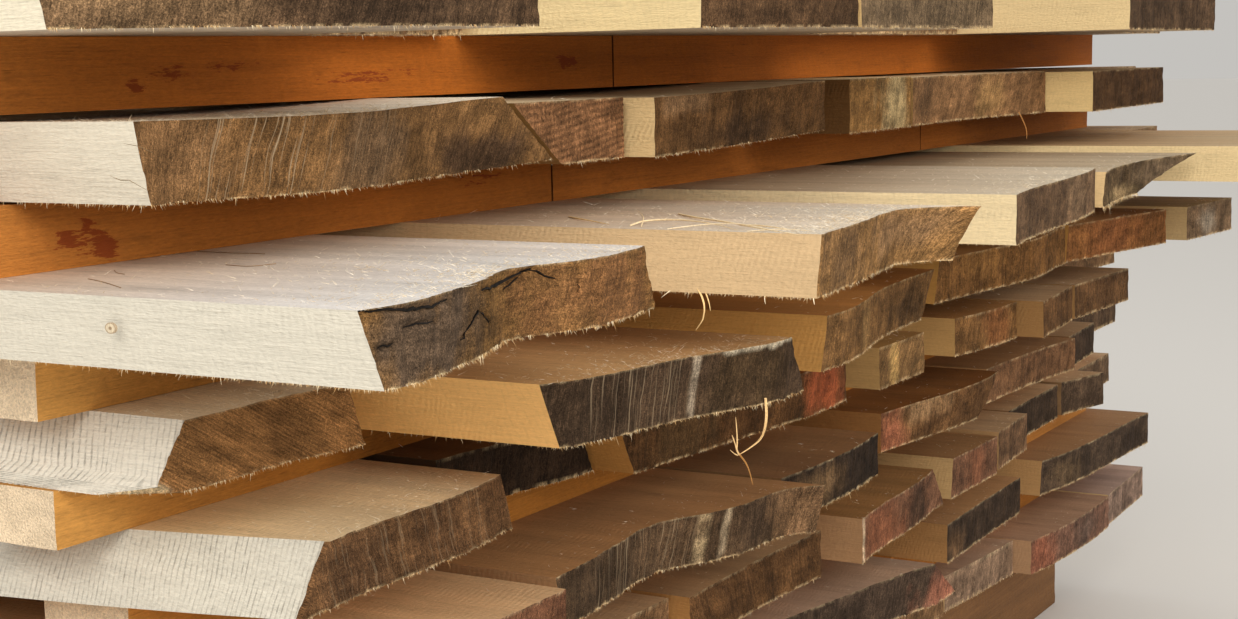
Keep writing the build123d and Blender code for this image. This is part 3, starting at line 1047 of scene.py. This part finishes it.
def sawn_board(points, tree, look, seed):
    """One board with its weathered end, torn fringe and roughened sides."""
    thinning = 2 if look.cell >= 2 else 4
    timber = timber_mesh(points, tree, look.cell, BOARD_RINGS, thinning, look.fine_run, look.swings)
    near_lean, far_lean = look.lean
    lean = near_lean + (far_lean - near_lean) * timber.across / np.ptp(timber.grid[..., 0])
    leaning = timber.across + lean * timber.up
    verts = roughened(timber, BOARD_CHIPS, seed)
    verts[:, 0] -= np.where(timber.along < AT_CUT, end_depth(timber, look, leaning, seed), 0)
    marks = np.zeros_like(verts)
    marks[:, 0], marks[:, 1], grooves = edge_marks(timber, look, seed)
    verts[:, 1] += grooves
    mark_end(marks, timber, look, leaning, seed)

    # The tree's heart lies below the board, in another stretch of the tree for each.
    chance = np.random.default_rng(seed)
    middle, foot = timber.grid[..., 0].mean(), timber.grid[..., 1].min()
    pith = np.array([0, middle + chance.normal(0, 40), foot - 15 - 90 * chance.random()])
    woods = timber.verts - pith + (seed * 731.0, 0, 0)

    # Boards seen from further off have wider cells, and get streaks as much coarser.
    coarseness = max(1, look.cell / 1.1)
    cuts = in_plane(leaning / coarseness, timber.up / coarseness * look.grit) + (0, 0, seed * 9.0)
    tones = board_tones(timber, look, leaning, seed)
    body = Piece(verts, timber.faces, timber.kinds, tones, woods, cuts, marks)
    fibres = [torn_fringe(timber, look, seed), loose_fibres(timber, look, seed)]
    if not look.swings:
        fibres.append(hanging_fibres(timber, look, seed))
    return [body, *fibres, *crack_lines(timber, verts, look, seed)]


def lay_boards(level, looks, extras=()):
    """All boards of one layer as one piece in the place of the layer's plain solids.

    Boards without a look of their own get the plain one. No fibre may stand out past
    the longest board.
    """
    parts = []
    for number, (points, tree) in enumerate(loose_parts(f"board_layer_{level}")):
        look = looks[number] if number < len(looks) else Look()
        parts += sawn_board(points, tree, look, 100 * level + number)
    whole = joined([*parts, *extras])
    whole.verts[:, 0] = np.minimum(whole.verts[:, 0], cad_box[1][0] / MM)
    piece = make_object(f"boards_of_layer_{level}", whole,
                        [BOARD_GRAIN, END_GRAIN, FIBRE_STRANDS])
    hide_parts(f"board_layer_{level}")


# The lowest layer, pinkish in places.
lay_boards(1, [
    Look(), Look(), Look(),
    Look(end="#7C6450", top="#A98C74"),
    Look(end="#6E5040", edge="#B08A66", top="#A88468", cell=2.0,
         spots=(Spot(20, 14, 30, 26, "#95583F", 0.6), Spot(110, 12, 30, 20, "#54443A"))),
    Look(end="#80695A", top="#AE9282", cell=2.2, spots=(Spot(60, 10, 30, 20, "#5C4A3E"),)),
])

# The second layer, with the darkest ends, furred.
lay_boards(2, [
    Look(), Look(),
    Look(end="#43352A", edge="#A98458", top="#B0927A", cell=1.8, lean=(-0.2, -0.4),
         spots=(Spot(212, 6, 46, 20, "#96604A", 0.85), Spot(60, 10, 60, 20, "#2E241C", 0.6))),
    Look(end="#3E3024", edge="#A67C4C", top="#AE8458", cell=1.8, torn=1.4,
         spots=(Spot(20, 8, 24, 16, "#6E5238", 0.7),)),
    Look(end="#433529", edge="#B08A5A", top="#9E764E", cell=1.8, torn=1.4,
         spots=(Spot(40, 12, 40, 16, "#64503A", 0.7), Spot(200, 12, 40, 16, "#2E241C", 0.7))),
])

# The third layer, mixed widths with a reddish heart here and there.
lay_boards(3, [
    Look(), Look(),
    Look(end="#543A22", edge="#AE7E48", top="#B3916A", cell=1.8, lean=(0.5, 0.1)),
    Look(end="#6A4A36", edge="#B08860", top="#9A7040", cell=1.6, lean=(-0.2, -0.5),
         spots=(Spot(40, 12, 50, 30, "#7A4A32", 0.7), Spot(112, 12, 22, 24, "#33261C"),
                Spot(3, 14, 4, 30, "#C9B090"))),
    Look(end="#6A4A36", edge="#C09E6C", top="#9A7248", cell=1.8,
         spots=(Spot(50, 14, 24, 24, "#7A4C34", 0.6),)),
    Look(end="#664C36", edge="#B08C60", cell=2.0),
    Look(end="#3C2E22", edge="#8A6844", cell=2.2),
    Look(end="#4A3A2C", edge="#8A6C4A", cell=2.2),
    Look(end="#5A4634"),
])

# The fourth layer. Its second board has pale bands of sound wood in a dark end.
lay_boards(4, [
    Look(end="#76503A", edge="#C49A6A", top="#E0BC90", cell=1.5, lean=(-0.3, -0.3)),
    Look(end="#54412F", edge="#B08860", top="#B4885A", cell=1.1, lean=(-0.1, -0.35), depth=0.9, torn=1.3,
         spots=(Spot(45, 12, 50, 30, "#33281D", 0.6), Spot(175, 14, 24, 20, "#382B20", 0.7),
                Spot(206, 12, 22, 26, "#74583E", 0.9)),
         streaks=(Streak(129, 5, "#AE9672", 0.85), Streak(143, 4, "#A89478", 0.85)),
         threads=((34, 124, 0.6),), grit=1, fuzz=220),
    Look(end="#2E231A", edge="#8A6844", top="#8E6844", cell=1.6, torn=1.4,
         spots=(Spot(50, 14, 40, 12, "#6A5238", 0.7),)),
    Look(end="#5E4228", edge="#94683A", top="#80501E", cell=1.6, lean=(-0.2, -0.5),
         spots=(Spot(10, 10, 26, 30, "#9A5E44", 0.75), Spot(60, 20, 40, 12, "#8A6C4C"))),
    Look(end="#684A32", edge="#A47C50", top="#A07A52", cell=1.8),
    Look(end="#3A2C20", edge="#8A6844", cell=2.2),
    Look(end="#4C3A2A", edge="#8A6844"),
])

# The fifth layer. The near board's edge shows fine marks of the blade and curves in
# towards the cut.
lay_boards(5, [
    Look(end="#66492F", edge="#D0CBBD", top="#EFD6AC", back="#CFA26C", cell=1.1, lean=(0.3, 0.25), torn=1.2,
         edge_blade=(2.1, 0.14, -0.2), fine_run=210, swings=True, fuzz=700,
         spots=(Spot(20, 10, 26, 26, "#4E3826", 0.6), Spot(70, 14, 22, 26, "#4A3422", 0.6)),
         threads=((0, 110, 0.3),), grit=2.5),
    Look(end="#2C2016", edge="#4A3624", top="#7A5C3C", back="#5C4026", cell=1.8, depth=0.7),
    Look(end="#50361E", edge="#B88444", top="#A66E38", back="#7E4418", cell=1.5, lean=(-0.1, -0.3),
         spots=(Spot(206, 12, 34, 26, "#8E4A2C", 0.85), Spot(60, 10, 40, 20, "#46341F", 0.7))),
    Look(end="#7A5C3A", edge="#B8945E", top="#B08850", cell=1.8, lean=(-0.8, -0.8),
         spots=(Spot(22, 12, 8, 40, "#B8945C"),)),
    Look(end="#70502F", edge="#C49C62", top="#A87C48", cell=1.8,
         spots=(Spot(60, 12, 24, 24, "#7E4C2C", 0.5),)),
    Look(end="#5E4228", edge="#A47C4C", cell=2.0),
    Look(end="#5A4028", edge="#A47C4C", cell=2.2),
])

# The sixth layer. The near board's wide, slanting edge is coarsely furrowed by the
# saw, and the next one's end is the darkest of those near by. A forked splinter hangs
# from it.
FORK_TONE = "#ECC48A"
FORK = [
    ([(1235, -347, 355.5), (1238, -352, 347), (1240, -360, 341), (1238, -368, 338), (1236, -375, 336)],
     1.7, FORK_TONE),
    ([(1236, -375, 336), (1237, -379, 338.5), (1238, -382, 341.5), (1238, -385, 346.4)], 1.3, FORK_TONE),
    ([(1236, -375, 336.5), (1237, -368.7, 330.5), (1238, -366.2, 321.3)], 1.2, "#C48E50"),
    ([(1236, -377, 338), (1237, -378.4, 345), (1237, -379.5, 353)], 0.9, FORK_TONE),
    ([(1236, -376, 336), (1238, -383, 338), (1239, -389, 341)], 0.7, FORK_TONE),
]
lay_boards(6, [
    Look(end="#86603A", edge="#EDE7D8", top="#F6E4C4", back="#C79A60", cell=1.0, lean=(1.7, 1.6),
         depth=0.6, torn=1.2, grit=0.8, fuzz=500,
         blade=(1.7, 0.12, 0.62), edge_blade=(3.0, 0.24, -0.5), fine_run=150,
         spots=(Spot(60, 8, 26, 16, "#5A4026", 0.5), Spot(-24, 0, 24, 8, "#EAD8B0", 1.0))),
    # The second board's edge is painted bright: painted light, where the board above shades it.
    Look(end="#453527", edge="#F2BE76", top="#D0A470", back="#A65C18", cell=1.0, lean=(-0.1, -0.35),
         depth=0.8, torn=1.3,
         spots=(Spot(14, 10, 30, 26, "#33271C", 0.7), Spot(120, 14, 36, 26, "#443422", 0.8),
                Spot(132, 27, 40, 3.5, "#D9CBB0", 0.8)),
         streaks=(Streak(82, 3, "#A3937E", 0.8),), threads=((16, 78, 0.6),), grit=1, fuzz=900),
    Look(end="#6E5030", edge="#CC9A56", top="#AC7438", back="#844818", cell=1.4, lean=(-0.3, -0.6),
         spots=(Spot(150, 10, 44, 16, "#3C2C1C", 0.8), Spot(60, 12, 16, 30, "#8A6A42"))),
    Look(end="#6B4A28", edge="#BF904E", top="#A0703C", cell=1.6, spots=(Spot(60, 20, 50, 12, "#8A6236"),)),
    Look(end="#744C2A", edge="#B88848", top="#96683A", cell=1.8,
         spots=(Spot(70, 14, 50, 34, "#7C4C2C", 0.6),)),
    Look(end="#6E5842", edge="#C9AC7C", top="#AE9468", cell=1.8, spots=(Spot(50, 12, 26, 14, "#8E8272"),)),
], extras=[splinter(*prong) for prong in FORK])

# The seventh layer, whose boards stand out furthest. The near one's end is cracked,
# its top scratched, and there is a small knot on its edge. The next has torn strands
# along its top, and more hang from its lower edge.
KNOT_PLACE = (1154.5, -648.5, 421.9)
KNOT_RADIUS = 1.8
KNOT_SIDES = 20

# A knot's rings: each one's share of the radius, how far it stands proud, in mm, and
# its colour.
KNOT_RINGS = ((1.0, 0.3, "#B09C82"), (0.8, 0.34, "#D6C6AA"), (0.3, 0.38, "#A08A6E"))

SCRATCH_TONE = "#9A7C5C"
SCRATCH_WIDTH = 0.34
SCRATCHES = [
    [(1125.6, -562.4, 432.1), (1139.1, -564.8, 432.1), (1141.5, -553.6, 432.1)],
    [(1109.9, -614.1, 432.1), (1122.1, -619.1, 432.1), (1141.3, -630.1, 432.1)],
    [(1076.2, -525.7, 432.1), (1094, -528, 432.1), (1112.5, -526.1, 432.1)],
    [(1098, -590, 432.1), (1106, -597, 432.1), (1112, -599, 432.1)],
]
STRAND_TONE = "#F0D9AE"
PALE_STRAND_TONE = "#FBE8C4"
WARM_STRAND_TONE = "#ECC88C"
STRANDS = [
    ([(1189, -381, 432.2), (1188, -368, 433.2), (1200, -361, 433.6), (1222, -371, 433.4),
      (1243, -387, 432.2)], 1.2, STRAND_TONE),
    ([(1179, -320, 432.1), (1203, -346, 433.0), (1230, -369, 433.6), (1257, -394, 433.8),
      (1278, -401, 432.3)], 1.3, STRAND_TONE),
    ([(1137, -347, 432.1), (1160, -370, 433.2), (1177, -378, 432.2)], 1.1, "#E2C28C"),
    ([(1232, -364, 432.2), (1250, -377, 433.4), (1266, -381, 432.2)], 1.0, STRAND_TONE),
    ([(1196, -384, 432.2), (1184, -360, 434.2), (1172, -345, 435.5)], 0.8, STRAND_TONE),
    ([(1212, -390, 432.1), (1228, -380, 434.0), (1246, -384, 434.6), (1262, -393, 433.0)],
     0.8, PALE_STRAND_TONE),
    ([(1250, -392, 432.2), (1262, -386, 433.2), (1276, -384, 432.3)], 0.7, PALE_STRAND_TONE),
    ([(1229, -396.5, 409), (1233, -398.5, 404), (1233.5, -399, 397.3), (1229, -398.5, 391.7)],
     1.3, WARM_STRAND_TONE),
    ([(1232, -396.5, 409), (1235, -398, 404), (1236, -398.5, 400)], 0.9, WARM_STRAND_TONE),
    ([(1218, -396.5, 408.5), (1215, -398, 406), (1213, -398, 404.5)], 0.6, PALE_STRAND_TONE),
    ([(1260, -396.5, 408.3), (1260, -397.6, 406), (1260.5, -397.8, 403.9)], 0.6, PALE_STRAND_TONE),
    ([(1281, -396.5, 408.3), (1281.5, -397.6, 406.4), (1282, -397.8, 404.6)], 0.7, PALE_STRAND_TONE),
]


def pin_knot(place, radius):
    """A small round knot cut through by the saw: a dark ring about a dull heart."""
    x, y, z = place
    made = []
    for share, proud, tone in KNOT_RINGS:
        turns = [2 * math.pi * i / KNOT_SIDES for i in range(KNOT_SIDES)]
        reach = radius * share
        rim = [(x + 1.3 * reach * math.cos(turn), y - proud, z + reach * math.sin(turn)) for turn in turns]
        root = [(along, y + 0.5, up) for along, _, up in rim]
        verts = np.array(rim + root)
        after = [*range(1, KNOT_SIDES), 0]
        sides = [(i, i + KNOT_SIDES, j + KNOT_SIDES, j) for i, j in enumerate(after)]
        faces = [list(range(KNOT_SIDES)), *sides, list(range(2 * KNOT_SIDES - 1, KNOT_SIDES - 1, -1))]
        tones = np.tile(linear(tone), (len(verts), 3, 1))
        zeros = np.zeros_like(verts)
        made.append(Piece(verts, faces, np.full(len(faces), FIBRE), tones, verts, zeros, zeros))
    return made


lay_boards(7, [
    Look(end="#70522F", edge="#E8E2D2", top="#E6E1DC", back="#C79C6C", cell=0.85, lean=(-0.1, -0.45),
         depth=0.7, torn=1.2,
         spots=(Spot(34, 12, 54, 26, "#54463A", 0.85), Spot(160, 12, 60, 26, "#7C5636", 0.8),
                Spot(86, 8, 20, 10, "#40301F", 0.6)),
         cracks=((1.0, ((1, 24.5), (8, 24), (24.5, 22.4), (39, 21.5), (49, 22.3))),
                 (1.1, ((78.3, 21.6), (90, 20.5), (105.9, 20.8), (116.4, 22.3), (121, 23.3))),
                 (1.0, ((118, 23.2), (121, 23.3), (124, 22.5), (128, 20.5), (131.6, 19.4))),
                 (0.9, ((78.3, 21.6), (77.5, 18.5), (76, 15.5), (72, 14.4), (67, 11.7), (59, 8))),
                 (0.7, ((76.5, 15.3), (83.6, 12.1), (88.8, 8.6))),
                 (0.5, ((119, 22), (111, 19.5), (106, 18))),
                 (0.6, ((19, 17.5), (30, 17.8), (38, 17))),
                 (0.6, ((8, 12.7), (15, 13.4))),
                 (0.4, ((141, 22.6), (141.3, 17), (141.5, 13.3)))),
         grit=5, fuzz=2600),
    Look(end="#7C5C38", edge="#DABA8E", top="#E0D4C2", back="#C08C58", cell=1.1, lean=(-0.4, -0.7),
         depth=0.7, torn=1.2, fuzz=2400,
         spots=(Spot(30, 12, 30, 24, "#5C4630", 0.7), Spot(110, 16, 44, 12, "#86684A", 0.7))),
    Look(end="#5E4834", edge="#EFDAAE", top="#D3C4AC", back="#B98C5C", cell=1.3, lean=(-0.2, -0.4), fuzz=900,
         spots=(Spot(60, 14, 30, 22, "#463424", 0.7), Spot(150, 14, 40, 20, "#6C5640", 0.7))),
    Look(end="#54432F", edge="#D3B484", top="#BFAC90", back="#A8845C", cell=1.3, depth=1.4, torn=2.4,
         spots=(Spot(60, 4, 60, 6, "#A08660", 0.6), Spot(150, 14, 60, 14, "#7A6650", 0.6)), fuzz=300),
    Look(end="#6B4E34", edge="#E8CE9C", top="#C9B08A", cell=1.8),
], extras=[
    *pin_knot(KNOT_PLACE, KNOT_RADIUS),
    *[strand(line, np.full(len(line), SCRATCH_WIDTH), SCRATCH_TONE, 5) for line in map(rounded, SCRATCHES)],
    *[splinter(*fibre) for fibre in STRANDS],
])

# The eighth layer. The near board has curled up at its far edge and has fine cracks
# along its near one, and its neighbour, which leans against it, shows the blade's
# level marks. A splinter hangs from one further back.
EDGE_CRACK_SHADE_TONE = "#8A7454"
EDGE_CRACK_WIDTHS = (0.1, 0.28)
EDGE_CRACKS = [
    [(1143.2, -627.2, 478.9), (1149.7, -627.1, 478.0), (1155.7, -627.0, 475.9)],
    [(1139.3, -630.2, 468.5), (1144, -630.3, 467.2), (1148.0, -630.6, 467.3), (1157.0, -631.5, 464.0)],
]


def fine_crack(line):
    """A crack that is narrower at its two ends, drawn as a dark strand: painted shade."""
    narrow, wide = EDGE_CRACK_WIDTHS
    widths = [narrow, *[wide] * (len(line) - 2), narrow]
    return strand(line, widths, EDGE_CRACK_SHADE_TONE, 5)


lay_boards(8, [
    # The near board's top is painted near white: painted light, where the layer above shades it.
    Look(end="#765736", edge="#F2EBD8", top="#FBF0DC", back="#C79C6C", cell=0.9, lean=(-0.15, -0.75),
         depth=0.75, torn=1.1,
         spots=(Spot(20, 18, 34, 30, "#7C5E40", 0.7), Spot(200, 8, 46, 12, "#3A2C22", 0.8),
                Spot(120, 12, 34, 24, "#64503C", 0.7)),
         threads=((34, 80, 1.4), (80, 130, 0.4)), grit=1, fuzz=1500),
    Look(end="#79563A", edge="#96703F", top="#C4AE8C", cell=1.1, lean=(0.0, 0.0), blade=(3.0, 0.3, -0.12)),
    Look(end="#5E4328", edge="#E2C490", top="#C9B494", back="#A87848", cell=1.2, lean=(-0.2, -0.5),
         spots=(Spot(110, 8, 70, 14, "#3C2C1E", 0.8), Spot(40, 24, 40, 8, "#86684A"))),
    # This board's near edge is painted dark: painted shade.
    Look(end="#7A5A34", edge="#6E4E2A", top="#C4A87C", cell=1.4, lean=(-0.3, -0.3),
         spots=(Spot(78, 13, 30, 34, "#A8946C", 0.75),)),
    Look(end="#7A5A3C", edge="#B08A54", top="#BFA27A", cell=1.4, lean=(-0.6, -0.6),
         spots=(Spot(30, 12, 24, 24, "#5E4630"), Spot(150, 12, 34, 20, "#96744A"))),
    Look(end="#4A3522", edge="#E4C68C", top="#BFA27A", cell=1.6),
], extras=[
    *[fine_crack(line) for line in EDGE_CRACKS],
    splinter([(1180, 147.3, 462), (1182, 151, 456), (1183, 155, 450), (1182, 157.7, 443.8)], 1.2, "#DCA060"),
])

# The top layer, grey on top near the cut, and no loose fibres are left on it.
TOP_TONE = "#CFC2B0"
lay_boards(9, [
    Look(end="#54402E", edge="#F0E6CE", top=TOP_TONE, back="#CDB794", fuzz=0, cell=1.2, lean=(-0.2, -0.5),
         depth=0.7,
         spots=(Spot(20, 14, 50, 30, "#7C6246", 0.8), Spot(120, 12, 60, 30, "#3E2F22", 0.7))),
    Look(top=TOP_TONE, back="#C4A982", fuzz=0),
    Look(end="#4C3826", edge="#EAD3A0", top=TOP_TONE, back="#D1BC98", fuzz=0, cell=1.4),
    Look(end="#66543F", edge="#D6B680", top=TOP_TONE, back="#C8AE88", fuzz=0, cell=1.6),
    Look(top=TOP_TONE, back="#BFA67F", fuzz=0),
    Look(end="#4C3A2A", edge="#E2C896", top=TOP_TONE, back="#CBB28C", fuzz=0, cell=1.8),
    Look(end="#5A4634", top=TOP_TONE, back="#C5AB84", fuzz=0),
])


# The studio: a pale floor, one soft lamp off the stack's near side and one off its
# seen end, and an even pale surround, whose light is a little warm.

FLOOR_TONE = "#DFDCD7"
FLOOR_SIZE = 60
SURROUND_LIGHT = (1, 0.98, 0.95, 1)
SURROUND_STRENGTH = 0.75
LAMP_SPREAD = 100

# A lamp's place and the place that it points at, its size in metres and its power in
# watts.
Lamp = namedtuple("Lamp", "name place target size power tone")
LAMPS = [
    Lamp("key", (2.4, -4.0, 2.7), (0.9, -0.4, 0.35), 2.2, 28, "#FFFBF4"),
    Lamp("fill", (4.6, -1.6, 1.8), (1.0, -0.1, 0.35), 2.0, 27, "#FFFAF2"),
]


def pale_floor():
    """A wide plain floor at the bearers' feet."""
    mesh = bpy.data.meshes.new("floor")
    half = FLOOR_SIZE / 2
    corners = [(-half, -half, 0), (half, -half, 0), (half, half, 0), (-half, half, 0)]
    mesh.from_pydata(corners, [], [(0, 1, 2, 3)])
    floor = bpy.data.objects.new("floor", mesh)
    bpy.context.scene.collection.objects.link(floor)
    material, _, shader = start_material("matt_pale_floor", 0.9, 0.1)
    shader.inputs["Base Color"].default_value = (*linear(FLOOR_TONE), 1)
    mesh.materials.append(material)


def soft_light(lamp):
    """A square area lamp that points at a place on the stack."""
    light = bpy.data.lights.new(lamp.name, "AREA")
    light.size = lamp.size
    light.energy = lamp.power
    light.color = linear(lamp.tone)
    light.spread = math.radians(LAMP_SPREAD)
    made = bpy.data.objects.new(lamp.name, light)
    made.location = lamp.place
    made.rotation_euler = (Vector(lamp.target) - Vector(lamp.place)).to_track_quat("-Z", "Y").to_euler()
    bpy.context.scene.collection.objects.link(made)


def pale_surround():
    """An even light from all round, seen as pale as the floor behind the stack."""
    world = bpy.data.worlds.new("pale_surround")
    bpy.context.scene.world = world
    world.use_nodes = True
    tree = world.node_tree
    tree.nodes.clear()
    light = add_node(tree, "Background", (SURROUND_LIGHT, SURROUND_STRENGTH))
    seen = add_node(tree, "Background", ((*linear(FLOOR_TONE), 1), SURROUND_STRENGTH))
    from_camera = add_node(tree, "LightPath", (), "Is Camera Ray")
    add_node(tree, "OutputWorld", (add_node(tree, "MixShader", (from_camera, light, seen)),))


pale_floor()
pale_surround()
for lamp in LAMPS:
    soft_light(lamp)


# The camera stands at the stack's seen end, just off its near corner, level with the
# upper layers and a little tilted. Its angles are in degrees, and its focal length
# is in pixels of a frame that is FRAME_WIDTH pixels wide.

EYE = (1.5975, -1.0825, 0.502)
YAW, PITCH, ROLL = (math.radians(angle) for angle in (30.61, 7.41, 1.32))
FRAME_WIDTH = 1238
FOCAL_PIXELS = 1917
SENSOR_MM = 36.0


def place_camera():
    """The camera by its eye point, heading, downward pitch and roll."""
    ahead = Vector((-math.sin(YAW) * math.cos(PITCH), math.cos(YAW) * math.cos(PITCH), -math.sin(PITCH)))
    level = Vector((math.cos(YAW), math.sin(YAW), 0))
    down = ahead.cross(level)
    right = level * math.cos(ROLL) + down * math.sin(ROLL)
    below = down * math.cos(ROLL) - level * math.sin(ROLL)
    lens = bpy.data.cameras.new("camera")
    lens.sensor_width = SENSOR_MM
    lens.lens = FOCAL_PIXELS / FRAME_WIDTH * SENSOR_MM
    lens.clip_start = 0.01
    camera = bpy.data.objects.new("camera", lens)
    bpy.context.scene.collection.objects.link(camera)
    turn = Matrix((right, -below, -ahead)).transposed().to_4x4()
    camera.matrix_world = Matrix.Translation(EYE) @ turn
    bpy.context.scene.camera = camera


place_camera()
bpy.context.scene.view_settings.view_transform = "Standard"
